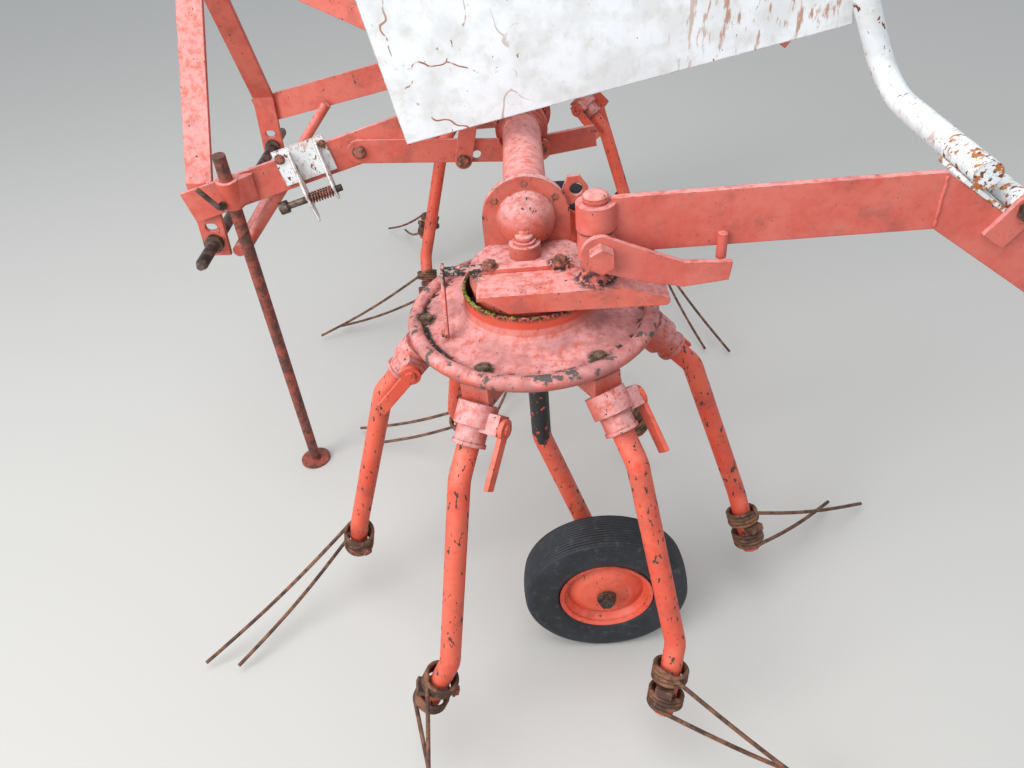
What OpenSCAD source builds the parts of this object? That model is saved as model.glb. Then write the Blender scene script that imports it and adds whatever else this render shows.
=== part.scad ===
// Two-rotor hay tedder on a three-point headstock, parked on its wheels and its stand.
// Frame of the part: +X forward to the tractor, +Y to the machine's left, +Z up, ground at Z = 0.
// Inside the modules X = 0 is the line of the two rotor axes and Z = 0 the level of the rotor discs.
// What stands beside a rotor is drawn once for the left rotor, from its own axis, and mirrored.

/* [Machine] */
// Distance between the two rotor axes
rotor_spacing = 1500; // [1400:10:1700]
// Height of the rotor discs above the ground
disc_height = 860; // [820:10:940]
// Height of the gearbox shafts above the discs
drive_height = 153; // [145:1:170]

/* [Rotor disc] */
// Radius of the rolled rim, to the middle of the roll
rim_radius = 228; // [220:1:256]
// Radius of the roll itself
rim_roll = 15; // [10:1:18]
// Thickness of the pressed disc
disc_wall = 6; // [4:0.5:8]
// Radius of the raised collar round the foot of the gearbox
collar_radius = 129; // [126:1:140]
// Height of the collar above the disc
collar_height = 64; // [50:1:66]
// Arms on each rotor
arm_count = 6; // [4:1:6]
// Angle of the first left arm from straight ahead
left_phase = 2; // [0:1:6]
// Angle of the first right arm from straight ahead
right_phase = 30; // [26:1:34]

/* [Tine arms] */
// Outside diameter of the arm tube
arm_diameter = 42; // [36:1:48]
// Wall of the arm tube
arm_wall = 4; // [3:0.5:6]
// Radius of the bends in the arm
arm_bend = 60; // [50:1:80]
// Drop from the disc to the lower bend
arm_drop = 563; // [540:1:590]
// Radius at which the arm has its lower bend
arm_elbow_radius = 451; // [430:1:470]
// Length of the arm below the lower bend
arm_foot = 157; // [140:1:170]

/* [Tines] */
// Wire of the tines
wire = 9; // [8:0.5:11]
// Outside diameter of the coils
coil_diameter = 74; // [70:1:80]
// Turns in each of the two coils on an arm
coil_turns = 4; // [3:1:5]
// Gap between the two coils, where the clamp sits
coil_gap = 16; // [12:1:20]
// Length of the upper finger
upper_finger = 440; // [400:5:460]
// Length of the lower finger
lower_finger = 375; // [340:5:400]
// Height of the finger tips above the ground
tip_height = 26; // [15:1:40]

/* [Wheels] */
// Outside diameter of the tyres
tyre_diameter = 375; // [350:5:400]
// Width of the tyres
tyre_width = 95; // [85:1:100]
// Radius of the rim lip
rim_lip = 106; // [100:1:115]
// Distance of the wheel axle behind the rotor axis
wheel_back = 122; // [110:1:140]
// Distance of the wheel outboard of the rotor axis
wheel_out = 143; // [135:1:150]
// Diameter of the wheel axle
axle_diameter = 25; // [22:1:28]

/* [Headstock] */
// Distance between the middles of the two mast legs
leg_spacing = 612; // [560:2:700]
// Distance of the lower link pins ahead of the rotor axes
hitch_reach = 764; // [740:2:820]
// Height of the lower link pins above the discs
pin_level = -25; // [-40:1:0]
// Height of the top link pin above the lower ones
mast_height = 610; // [560:2:640]
// Diameter of the lower link pins
link_pin = 28; // [22:1:28]
// Length of each lower link pin outside its collar
link_pin_length = 92; // [80:1:110]
// Bore for the top link pin
top_pin_bore = 25.5; // [19.5:0.5:32]
// Width and thickness of the mast bars
leg_width = 60; // [50:1:70]
leg_thick = 12; // [10:1:15]
// Depth and thickness of the beams from mast to gearbox
beam_depth = 75; // [65:1:85]
beam_thick = 12; // [10:1:15]

/* [Drive tube] */
// Outside diameter of the cross tubes
tube_diameter = 89; // [80:1:95]
// Wall of the cross tubes
tube_wall = 6; // [4:0.5:8]
// Distance of the frame plates from the middle of the machine
plate_offset = 190; // [180:1:210]

/* [Gate arms] */
// Radius of the pivot post
post_radius = 19; // [16:1:22]
// Distance of the post behind the rotor axis
post_back = 118; // [110:1:130]
// Distance of the post outboard of the rotor axis
post_out = 80; // [74:1:86]
// Depth and thickness of the arm
gate_depth = 100; // [90:1:110]
gate_thick = 15; // [12:1:18]
// Length of the level part of the arm behind the post
gate_reach = 568; // [520:2:600]
// Slope of the drooping end
gate_droop = 36; // [30:1:40]
// Length of the drooping end
gate_tail = 330; // [300:5:360]

/* [Swath boards] */
// Outside diameter of the board tube
board_tube = 48; // [42:1:52]
// Radius of its bend
board_bend = 95; // [80:1:110]
// Distance from the arm inboard to the board
board_inset = 417; // [400:1:430]
// Length of the sheet
board_length = 930; // [880:5:960]
// Height of the sheet
board_height = 380; // [300:5:420]
// Thickness of the sheet
board_sheet = 3; // [2:0.5:5]
// Slope of the sheet, lower in front
board_slope = 10.5; // [6:0.5:14]

/* [Parking stand] */
// Diameter of the stand bar
stand_diameter = 30; // [26:1:34]
// Length of the bar above the middle of its sleeve
stand_above = 95; // [60:5:160]

/* [Hidden] */
$fn = 64;
running = 0.05;
seat = 0.3;
press = 0.01;
half_spacing = rotor_spacing / 2;
ground = -disc_height;
column_radius = 21;
// Reach of the machine ahead of the rotor axes, to the tips of the tines, and behind them
front_reach = 864.6;
rear_reach = post_back + gate_reach + gate_tail * cos(gate_droop)
    + gate_depth / 2 * cos(gate_droop) * sin(gate_droop);
machine_shift = (rear_reach - front_reach) / 2;

paint = "orangered";
cream = "ivory";
steel = "dimgray";

// From the machine's own origin to the origin of the part
module placed() {
    translate([machine_shift, 0, disc_height]) children();
}

// The left rotor's own axis, and the same mirrored to the right
module at_left() {
    placed() translate([0, half_spacing, 0]) children();
}
module at_right() {
    placed() mirror([0, 1, 0]) translate([0, half_spacing, 0]) children();
}
module on_both() {
    at_left() children();
    at_right() children();
}
module mirrored_pair() {
    placed() {
        children();
        mirror([0, 1, 0]) children();
    }
}

function unit(v) = v / norm(v);

// Points the Z axis of its children from a to b, their X axis upwards
module along(a, b) {
    d = b - a;
    translate(a) rotate([0, acos(d.z / norm(d)), atan2(d.y, d.x)]) children();
}

module rod(a, b, r) {
    along(a, b) cylinder(r = r, h = norm(b - a));
}

// Flat bar from a to b, its width upright
module bar(a, b, width, thick) {
    along(a, b) translate([-width / 2, -thick / 2, 0]) cube([width, thick, norm(b - a)]);
}

// Round rod through the points of a path, with bends of one radius between its straights.
// The bends are a hair fatter than the straights, which run on into them.
bend_swell = 0.06;
bend_overlap = 1;
module bent_rod(path, r, bend) {
    last = len(path) - 1;
    ahead = [for (i = [0:last - 1]) unit(path[i + 1] - path[i])];
    turn = [for (i = [0:last]) i == 0 || i == last ? 0 : acos(ahead[i - 1] * ahead[i])];
    setback = [for (t = turn) t == 0 ? 0 : bend * tan(t / 2) - bend_overlap];
    for (i = [0:last - 1])
        rod(path[i] + ahead[i] * setback[i], path[i + 1] - ahead[i] * setback[i + 1], r);
    for (i = [1:1:last - 1]) {
        u = ahead[i - 1];
        n = unit(ahead[i] - u * (u * ahead[i]));
        w = cross(u, n);
        c = path[i] - u * bend * tan(turn[i] / 2) + n * bend;
        multmatrix([[-n.x, u.x, w.x, c.x], [-n.y, u.y, w.y, c.y], [-n.z, u.z, w.z, c.z], [0, 0, 0, 1]])
            rotate_extrude(angle = turn[i]) translate([bend, 0]) circle(r = r + bend_swell);
    }
}

// Bent strip of flat bar through the points of a path, drawn in 2-D
module strip(path, thick) {
    last = len(path) - 1;
    way = [for (i = [0:last - 1]) unit(path[i + 1] - path[i])];
    side = [for (i = [0:last]) let(
        before = way[max(i - 1, 0)],
        after = way[min(i, last - 1)],
        middle = unit(before + after)
    ) [-middle.y, middle.x] * (thick / 2) / (middle * after)];
    polygon(concat([for (i = [0:last]) path[i] + side[i]], [for (i = [last:-1:0]) path[i] - side[i]]));
}

// Plate drawn in Y and Z, with its thickness along X from x
module cross_plate(x, thick) {
    translate([x, 0, 0]) rotate([90, 0, 90]) linear_extrude(thick) children();
}

// Plate drawn in X and Z, with its thickness along Y from y
module upright_plate(y, thick) {
    translate([0, y + thick, 0]) rotate([90, 0, 0]) linear_extrude(thick) children();
}

// Rotor: the dished disc, the curve up to its collar and the hub that turns on the column
roll_level = -4;
roll_bottom = roll_level - rim_roll;
module rotor_disc() {
    hub_radius = 38;
    hub_top = 36;
    hub_drop = 60;
    web_level = 14;
    crease = 40;
    dish = 36;
    dish_start = [collar_radius + dish, 6];
    trough = [rim_radius - 20, -2];
    bore = column_radius + running;
    color(paint) rotate_extrude() {
        translate([rim_radius, roll_level]) circle(r = rim_roll);
        polygon(concat(
            [[rim_radius, roll_level + disc_wall / 2], trough],
            [for (a = [0:13:65]) dish_start + dish * [-sin(a), 1 - cos(a)]],
            [[collar_radius, crease], [collar_radius, collar_height],
                [collar_radius - disc_wall, collar_height], [collar_radius - disc_wall, web_level],
                [hub_radius, web_level], [hub_radius, hub_top], [bore, hub_top],
                [bore, -hub_drop], [hub_radius, -hub_drop], [hub_radius, web_level - disc_wall],
                [collar_radius, web_level - disc_wall], dish_start - [0, disc_wall],
                trough - [0, disc_wall], [rim_radius, roll_level - disc_wall / 2]]
        ));
    }
}

// Like pieces round a rotor, one on each arm
module on_arms(phase) {
    for (i = [0:arm_count - 1]) rotate([0, 0, phase + i * 360 / arm_count]) children();
}

// The line of one arm: out of its socket, down, and leaning against the turn at its foot
arm_root = [248, 0, -88];
arm_shoulder = [321, 0, -168];
arm_elbow = [arm_elbow_radius, 0, -arm_drop];
foot_way = unit([36, -56, -142]);
arm_toe = arm_elbow + foot_way * arm_foot;
socket_way = unit(arm_shoulder - arm_root);

// Casting under the disc: foot, body, sleeve with its bead, and the boss of the locking lever
boss_length = 56;
boss_pitch = acos(-socket_way.z) - 90;
module arm_sockets(phase) {
    foot = 56;
    body_radius = 38;
    body_end = 8;
    sleeve_end = 44;
    bead = 7;
    boss = 38;
    color(paint) on_arms(phase) difference() {
        union() {
            translate([178, -foot / 2, -62]) cube([58, foot, 62 + roll_bottom - seat]);
            translate([178, -foot / 2, -30]) cube([30, foot, 21.6]);
            rod(arm_root - socket_way * 34, arm_root + socket_way * body_end, body_radius);
            rod(arm_root, arm_root + socket_way * (sleeve_end - bead), arm_diameter / 2 + 8);
            rod(arm_root + socket_way * (sleeve_end - bead), arm_root + socket_way * sleeve_end,
                arm_diameter / 2 + 11);
            translate(arm_root) rotate([0, -boss_pitch, 0])
                translate([-boss / 2 - 4, 0, -boss / 2]) cube([boss, boss_length, boss]);
        }
        rod(arm_root - socket_way * 10, arm_root + socket_way * 60, arm_diameter / 2 + seat / 2);
    }
}

module arm_levers(phase) {
    length = 112;
    width = 24;
    thick = 9;
    eye = 20;
    pin = 11;
    color(paint) on_arms(phase) translate(arm_root + [0, boss_length + seat, 0])
        rotate([0, -boss_pitch, 0]) {
            rotate([-90, 0, 0]) cylinder(r = eye, h = thick);
            rotate([-90, 0, 0]) cylinder(r = pin, h = thick + 5);
            translate([0, 0, -width / 2]) cube([length, thick, width]);
        }
}

module tine_arms(phase) {
    way = [arm_root - socket_way * 8, arm_shoulder, arm_elbow, arm_toe];
    color(paint) on_arms(phase) difference() {
        bent_rod(way, arm_diameter / 2, arm_bend, $fn = 32);
        bent_rod([way[0] - socket_way, way[1], way[2], way[3] + foot_way], arm_diameter / 2 - arm_wall,
            arm_bend, $fn = 32);
    }
}

// One double tine: two close-wound coils round the foot of the arm, and a finger from each
coil_radius = (coil_diameter - wire) / 2;
coil_pitch = wire - 0.4;
coil_height = coil_pitch * (coil_turns - 1);
clamp_at = arm_elbow + foot_way * (arm_foot - 62);
module coil() {
    rotate_extrude() for (i = [0:coil_turns - 1])
        translate([coil_radius, i * coil_pitch]) circle(r = wire / 2, $fn = 32);
}
module finger(side, heading, length) {
    middle = clamp_at - foot_way * (side * (coil_gap / 2 + wire / 2 + coil_height));
    out = [cos(heading), sin(heading), 0];
    root = middle + unit(cross(foot_way, out)) * coil_radius;
    tip = [root.x + out.x * length, root.y + out.y * length, ground + tip_height];
    rod(root, tip, wire / 2, $fn = 24);
}
module tines(phase) {
    color(steel) on_arms(phase) {
        for (side = [-1, 1]) along(clamp_at, clamp_at - foot_way * 10 * side)
            translate([0, 0, coil_gap / 2 + wire / 2]) coil();
        finger(1, 28, upper_finger);
        finger(-1, 42, lower_finger);
    }
}

// The saddle that holds the middle of the tine to the outer side of the arm
module tine_clamps(phase) {
    half = coil_gap / 2 - seat;
    color(steel) on_arms(phase) along(clamp_at - foot_way * half, clamp_at + foot_way * half)
        difference() {
            rotate([0, 0, 180]) translate([0, -17, 0]) cube([coil_radius + 8, 34, 2 * half]);
            translate([0, 0, -1]) cylinder(r = arm_diameter / 2 + seat, h = 2 * half + 2);
        }
}

// Gearbox on top of a rotor: the cover of the crown wheel, the nose round the pinion, the oil
// boss and the flange of the cross tube
flange_at = -98;
module rotor_gearboxes() {
    base_radius = 114;
    base_bottom = 46;
    base_top = 102;
    nose_radius = 57;
    nose_straight = 12;
    nose_length = 68;
    flange_radius = 84;
    flange_thick = 18;
    color(paint) on_both() difference() {
        union() {
            rotate_extrude() polygon([
                [0, base_bottom], [base_radius - 6, base_bottom], [base_radius, base_bottom + 30],
                [base_radius - 3, base_top], [0, base_top]
            ]);
            translate([0, flange_at, drive_height]) rotate([-90, 0, 0]) rotate_extrude() polygon(concat(
                [[0, 0], [nose_radius, 0]],
                [for (a = [0:9:81]) [nose_radius * cos(a), nose_straight
                    + (nose_length - nose_straight) * sin(a)]],
                [[0, nose_length]]
            ));
            upright_plate(flange_at, flange_thick) {
                translate([0, drive_height]) circle(r = flange_radius);
                translate([-flange_radius, base_top - 14])
                    square([2 * flange_radius, drive_height - base_top + 14]);
            }
            translate([6, -34, base_top - 10]) cylinder(r = 30, h = 36);
            translate([6, -34, base_top + 20]) cylinder(r = 22, h = 12);
            upright_plate(flange_at, 8) polygon([
                [-66, 190], [-82, 226], [-104, 226], [-120, 202], [-108, 178], [-80, 168]
            ]);
        }
        translate([-97, flange_at - 20, 200]) rotate([-90, 0, 0]) cylinder(r = 12.5, h = 40);
        translate([0, 0, base_bottom - 1]) cylinder(r = column_radius + seat, h = 40);
    }
}

module cross_tubes() {
    inner = plate_offset + plate_wall;
    outer = half_spacing + flange_at;
    color(paint) mirrored_pair() difference() {
        rod([0, inner, drive_height], [0, outer, drive_height], tube_diameter / 2);
        rod([0, inner - 1, drive_height], [0, outer + 1, drive_height], tube_diameter / 2 - tube_wall);
    }
}

// Plates on both sides of the centre gearbox, with the ears that carry beams and braces
ear_height = 94;
plate_wall = 14;
plate_ring = 54;
module frame_plates() {
    color(paint) mirrored_pair() difference() {
        union() {
            upright_plate(plate_offset, plate_wall) {
                translate([0, drive_height]) circle(r = 62);
                polygon([[-61, drive_height + 14], [-26, drive_height + ear_height],
                    [30, drive_height + ear_height], [61, drive_height + 14]]);
                translate([2, drive_height + ear_height]) circle(r = 28);
            }
            rod([0, plate_offset + plate_wall, drive_height],
                [0, plate_offset + plate_wall + 10, drive_height], plate_ring);
        }
        rod([0, plate_offset + plate_wall, drive_height], [0, plate_offset + 30, drive_height],
            tube_diameter / 2 + seat / 2);
    }
}

// Centre gearbox with the neck of the input shaft
case_radius = 52;
neck_end = 196;
neck_bore = 60;
shaft_radius = 17.5;
module centre_gearbox() {
    half = plate_offset;
    body = 74;
    color(paint) placed() difference() {
        union() {
            rod([0, -half, drive_height], [0, half, drive_height], case_radius);
            rod([0, -96, drive_height], [0, 96, drive_height], body);
            rod([0, 0, drive_height], [neck_end - 40, 0, drive_height], 62);
            rod([neck_end - 40, 0, drive_height], [neck_end, 0, drive_height], 44);
            translate([-60, -70, drive_height - body - 14]) cube([120, 140, 60]);
            rod([0, 0, drive_height], [0, 0, drive_height + body + 14], 24);
        }
        rod([neck_end - neck_bore, 0, drive_height], [neck_end + 1, 0, drive_height],
            shaft_radius + running);
    }
}

module input_shaft() {
    start = neck_end - neck_bore + 2;
    length = 158;
    splined = 80;
    splines = 6;
    color(steel) placed() difference() {
        rod([start, 0, drive_height], [start + length, 0, drive_height], shaft_radius);
        for (i = [0:splines - 1]) translate([start + length - splined, 0, drive_height])
            rotate([i * 360 / splines, 0, 0])
                translate([0, -4.4, shaft_radius - 2.7]) cube([splined + 10, 8.8, 8]);
    }
}

// Mast: two bent flat bars that lean together to the ears of the top link
mast_lean = 3.3;
ear_gap = 52;
module at_mast() {
    placed() translate([hitch_reach, 0, pin_level]) rotate([0, -mast_lean, 0]) children();
}
module mast_leg() {
    foot_y = leg_spacing / 2;
    ear_y = (ear_gap + leg_thick) / 2;
    difference() {
        cross_plate(-leg_width / 2, leg_width) strip([
            [foot_y, -36], [foot_y, 150], [ear_y, mast_height - 46], [ear_y, mast_height + 30]
        ], leg_thick);
        rod([0, foot_y - 30, 0], [0, foot_y + 30, 0], link_pin / 2 + running);
        rod([0, 0, mast_height], [0, foot_y, mast_height], top_pin_bore / 2);
        for (x = [-4, 4]) rod([x, foot_y - 30, 39], [x, foot_y + 30, 39], 11);
    }
}
module mast_legs() {
    color(paint) at_mast() {
        mast_leg();
        mirror([0, 1, 0]) mast_leg();
    }
}

// One round bar through both legs makes the lower link pins and the tie between them
module link_shaft() {
    y = leg_spacing / 2 + leg_thick / 2;
    collar = 22;
    collar_width = 16;
    taper = 14;
    color(steel) placed() {
        rod([hitch_reach, -y - collar_width - link_pin_length, pin_level],
            [hitch_reach, y + collar_width + link_pin_length, pin_level], link_pin / 2);
        for (s = [-1, 1]) {
            rod([hitch_reach, s * y, pin_level], [hitch_reach, s * (y + collar_width), pin_level], collar);
            rod([hitch_reach, s * (y - leg_thick - 14), pin_level],
                [hitch_reach, s * (y - leg_thick), pin_level], collar);
            translate([hitch_reach, s * (y + collar_width + link_pin_length), pin_level])
                rotate([-90 * s, 0, 0]) cylinder(r1 = link_pin / 2, r2 = link_pin / 2 - 5, h = taper);
        }
    }
}

// Beams on the outer faces of the mast legs, up to the ears of the frame plates
beam_rear = [2, plate_offset + plate_wall + beam_thick / 2 + 1 + seat, drive_height + ear_height];
beam_front = [hitch_reach + 26, leg_spacing / 2 + 21.8, 76];
module hitch_beams() {
    color(paint) mirrored_pair() {
        bar(beam_front, beam_rear, beam_depth, beam_thick);
        translate(beam_rear) rotate([90, 0, 0]) cylinder(r = 28, h = beam_thick, center = true);
    }
}
// On the outer face of the left beam: X forward along it from the rear bolt, Y outward, Z up
module on_beam() {
    along(beam_rear, beam_front) translate([0, beam_thick / 2 + seat, 0]) rotate([0, -90, 0]) children();
}

// Braces from behind the ears of the top link down to the same bolts
module mast_braces() {
    high = [hitch_reach - 78, 33, pin_level + mast_height - 18];
    thick = 10;
    low = [beam_rear.x, plate_offset - thick / 2 - 2, beam_rear.z];
    color(paint) mirrored_pair() {
        bar(high, low, 50, thick);
        translate(low) rotate([90, 0, 0]) cylinder(r = 25, h = thick, center = true);
    }
}

// Round stays under the beams and the bar that ties their feet behind the mast legs
module hitch_stays() {
    radius = 14;
    tie = 15;
    tie_at = [hitch_reach - leg_width / 2 - tie - 3, leg_spacing / 2, pin_level - 31];
    stay_y = leg_spacing / 2 - 31.5;
    color(paint) placed() {
        rod([tie_at.x, -tie_at.y, tie_at.z], tie_at, tie);
        for (s = [-1, 1])
            rod([566, s * stay_y, 98], [tie_at.x - 8, s * stay_y, tie_at.z - 6], radius);
    }
}

// Setting links along the outer faces of the beams
link_thick = 10;
link_depth = 54;
link_front = [390, -6];
link_rear = [-10, -147];
strap_foot = [170, -106];
module link_bars() {
    color(paint) mirrored_pair() difference() {
        on_beam() link_bar();
        rod([0, plate_offset, drive_height], [0, plate_offset + 60, drive_height],
            plate_ring + seat);
    }
}
module link_bar() {
    upright_plate(0, link_thick) difference() {
        union() {
            strip([link_front, link_rear], link_depth);
            translate(link_front) circle(r = link_depth / 2 + bend_swell);
            translate(link_rear) circle(r = link_depth / 2 + bend_swell);
        }
        translate(link_front) circle(r = 8);
        translate(link_rear) circle(r = 10);
        translate(strap_foot + [-34, 0]) circle(r = 11);
    }
}

// Straps bolted on the setting links and bent in to the beams above them
module link_straps() {
    color(paint) placed() {
        on_beam() link_strap();
        mirror([0, 1, 0]) on_beam() link_strap();
    }
}
module link_strap() {
    width = 40;
    thick = 8;
    head = strap_foot + [-42, 86];
    upright_plate(link_thick + seat, thick) {
        strip([strap_foot, head], width);
        translate(strap_foot) circle(r = width / 2 + bend_swell);
    }
    translate([head.x - width / 2, 0, head.y - 12]) cube([width, link_thick + seat + thick / 2, 12]);
}

// Short stays that stand back from the frame plates
module rear_stays() {
    thick = 12;
    y = plate_offset - thick / 2 - seat;
    color(paint) mirrored_pair() difference() {
        bar([-30, y, drive_height - 54], [-176, y, drive_height - 36], 50, thick);
        rod([0, y - thick, drive_height], [0, y + thick, drive_height], case_radius + seat);
    }
}

// Angle plate on the gearbox base that carries the pivot post of the gate arm
plate_top = 110;
module pivot_bases() {
    plate = 8;
    back = 34;
    front = 124;
    fold = [-162, plate_top];
    tip = [-242, plate_top - 28];
    color(paint) on_both() {
        upright_plate(back, front - back) polygon([
            [95, plate_top - plate], [95, plate_top], fold, tip, tip - [0, plate], fold - [0, plate]
        ]);
        upright_plate(front - 8, 8) polygon([
            [82, plate_top - plate], fold - [0, plate], tip - [0, plate], tip - [-6, plate + 5],
            [40, plate_top - 37]
        ]);
    }
}

module pivot_posts() {
    color(paint) on_both() translate([-post_back, post_out, plate_top]) {
        cylinder(r = post_radius, h = 147);
        cylinder(r = post_radius + 9, h = 150 - plate_top - seat);
        translate([0, 0, 147]) cylinder(r = post_radius + 3, h = 5);
    }
}

// Bar bolted across the gearbox base, with the plate that hangs from its front end
module side_bars() {
    color(paint) on_both() {
        translate([-80, 20, plate_top + seat]) cube([236, 24, 8]);
        cross_plate(156, 6) polygon([
            [16, plate_top + 14], [44, plate_top + 9], [58, plate_top - 12], [100, 22], [94, 11],
            [84, 6], [40, plate_top - 22]
        ]);
    }
}

// Column through the rotor, bent back to the wheel, with the axle
module wheel_legs() {
    knee = [0, 0, -330];
    hub_level = ground + tyre_diameter / 2;
    heel = [-wheel_back, 62, hub_level];
    color(paint) on_both() {
        bent_rod([[0, 0, 75], knee, heel], column_radius, 70);
        translate(heel) sphere(r = 26);
        rod([-wheel_back, 62, hub_level], [-wheel_back, wheel_out + 52, hub_level], axle_diameter / 2);
    }
}

// Wheel: dished rim on a hub, and the ribbed tyre
module at_wheel() {
    translate([-wheel_back, wheel_out, ground + tyre_diameter / 2]) rotate([-90, 0, 0]) children();
}
module rim() {
    half = tyre_width / 2 - 8;
    hub = 30;
    dish = 86;
    well = 100;
    wall = 4;
    bore = axle_diameter / 2 + running;
    color(paint) at_wheel() rotate_extrude() polygon([
        [bore, -half + 4], [hub, -half + 4], [hub, half - 10], [58, half - 14], [74, 18], [dish, 6],
        [dish + wall, -20], [well - wall, -30], [well - wall, -half], [rim_lip, -half - 4],
        [rim_lip, -half + 1], [well, -half + 1], [well, -26], [dish + 2 * wall, -14],
        [dish + wall, 12], [well - wall, 26], [well, 30], [well, half - 1], [rim_lip, half - 1],
        [rim_lip, half + 4], [well - wall, half], [well - wall, 34], [dish, 20], [76, 26],
        [60, half - 5], [hub, half], [bore, half + 1]
    ]);
}
module tyre() {
    crown = tyre_diameter / 2;
    bead = 100 + seat;
    groove = 4;
    color([0.13, 0.14, 0.17]) at_wheel() rotate_extrude() difference() {
        intersection() {
            translate([(crown + bead) / 2 + 2, 0]) circle(r = 58);
            translate([bead, -tyre_width / 2]) square([crown - bead, tyre_width]);
        }
        translate([bead - 1, -tyre_width / 2 + 16]) square([40, tyre_width - 32]);
        for (i = [-2:2]) translate([crown - 5, i * 14 - groove / 2]) square([10, groove]);
        for (s = [-1, 1]) translate([bead - 1, s * (tyre_width / 2 - 4) - 5 - seat])
            square([rim_lip + 2 - bead, 10 + 2 * seat]);
    }
}

// Gate arm: sleeves on the post, the level bar, its drooping end and the lug of the board's pin
gate_top = 260;
gate_mid = gate_top - gate_depth / 2;
sleeve_radius = 34;
tail_depth = gate_depth * cos(gate_droop);
weld_at = [-post_back - gate_reach, post_out, gate_mid];
droop_way = [-cos(gate_droop), 0, -sin(gate_droop)];
droop_up = [-sin(gate_droop), 0, cos(gate_droop)];
lever_bolt = [-post_back - 3, 180];
lever_face = 38;
fold_pin = 12.5;
fold_at = weld_at + droop_way * 130 + droop_up * (tail_depth / 2 + 26);
lug_thick = 10;
module gate_arm() {
    outer = gate_thick / 2;
    tail = [for (v = [weld_at + droop_way * gate_tail]) [v.x, v.z]];
    half_tail = [droop_up.x, droop_up.z] * tail_depth / 2;
    lug_at = fold_at + [0, outer + lug_thick / 2 - seat, 0];
    color(paint) difference() {
        union() {
            translate([-post_back, post_out, 152]) cylinder(r = sleeve_radius - 2, h = 50);
            translate([-post_back, post_out, 207]) cylinder(r = sleeve_radius, h = 46);
            upright_plate(post_out - outer, gate_thick) polygon([
                [-post_back - 24, gate_top], [weld_at.x, gate_top], tail[0] + half_tail,
                tail[0] - half_tail, [weld_at.x, gate_top - gate_depth],
                [-post_back - 24, gate_top - gate_depth]
            ]);
            rod([lever_bolt.x, post_out + 20, lever_bolt.y],
                [lever_bolt.x, post_out + lever_face, lever_bolt.y], 24);
            rod([-330, post_out + outer + 7, 141], [-330, post_out + outer + 7, 186], 9);
            bar(lug_at, lug_at - droop_up * 70, 48, lug_thick);
            rod(lug_at - [0, lug_thick / 2, 0], lug_at + [0, lug_thick / 2, 0], 25);
        }
        translate([-post_back, post_out, 100]) cylinder(r = post_radius + running, h = 200);
        rod(lug_at - [0, 20, 0], lug_at + [0, 20, 0], fold_pin + press);
    }
}

// Pin on which the swath board folds
module fold_pin() {
    head = gate_thick / 2 + lug_thick + seat;
    color(steel) {
        rod(fold_at + [0, -96, 0], fold_at + [0, head, 0], fold_pin);
        rod(fold_at + [0, head, 0], fold_at + [0, head + 12, 0], 20, $fn = 6);
    }
}

// Latch lever beside the arm, on the bolt of the lower sleeve
module latch_lever() {
    thick = 12;
    face = post_out + lever_face + seat;
    color(paint) {
        upright_plate(face, thick) {
            translate(lever_bolt) circle(r = 33);
            polygon([
                [-post_back - 10, 212], [-205, 178], [-262, 154], [-342, 149], [-338, 116],
                [-262, 108], [-190, 124], [-post_back, 148]
            ]);
        }
        rod([lever_bolt.x, face + thick, lever_bolt.y], [lever_bolt.x, face + thick + 26, lever_bolt.y],
            23, $fn = 6);
    }
}

// White tube of the swath board on its plate, which lies on the drooping end of the arm
plate_thick = 8;
tube_at = weld_at + droop_way * 30 + droop_up * (tail_depth / 2 + seat + plate_thick - 2 + board_tube / 2);
riser_lean = 24;
riser_top = 500;
module board_frame() {
    start = [tube_at.x, post_out + 8, tube_at.z];
    corner = [tube_at.x, post_out - board_inset, tube_at.z];
    top = corner + [sin(riser_lean), 0, cos(riser_lean)] * riser_top;
    eye = fold_pin + 8;
    eye_end = gate_thick / 2 - 2;
    color(cream) difference() {
        union() {
            bent_rod([start, corner, top], board_tube / 2, board_bend);
            translate(weld_at + droop_up * (tail_depth / 2 + seat)) rotate([0, -90 - gate_droop, 0])
                translate([0, -88, 6]) cube([plate_thick, 88 + gate_thick / 2 - seat, 122]);
            rod(fold_at - [0, 84, 0], fold_at + [0, eye_end, 0], eye);
        }
        rod(fold_at - [0, 89, 0], fold_at + [0, eye_end + 1, 0], fold_pin + running);
    }
}

module swath_board() {
    inner_face = post_out - board_inset - board_tube / 2 - bend_swell - seat;
    color(cream) translate([tube_at.x + 84, inner_face - board_sheet, tube_at.z + 128])
        rotate([0, board_slope, 0]) cube([board_length, board_sheet, board_height]);
}

// Parking stand beside the left beam; it leans so that its foot clears the circle of the tines
stand_at = [676, 344, 112];
stand_foot = [731, 209, ground];
stand_way = unit(stand_at - stand_foot);
sleeve_half = 34;
sleeve_round = 25;
// Round piece about the axis of the stand, between two distances above the middle of its sleeve
module along_stand(low, high, r) {
    placed() rod(stand_at + stand_way * low, stand_at + stand_way * high, r);
}
module stand_sleeve() {
    bore = stand_diameter / 2 + running;
    color(paint) difference() {
        union() {
            along_stand(-sleeve_half, sleeve_half, sleeve_round);
            placed() translate(stand_at) linear_extrude(2 * sleeve_half - 8, center = true)
                polygon([[23, 0], [23, -31], [-52, -40], [-52, -24], [-16, 16]]);
        }
        along_stand(-60, 60, bore);
        placed() bar(beam_front, beam_rear, beam_depth + 60, beam_thick + 2 * seat);
    }
}
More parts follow.
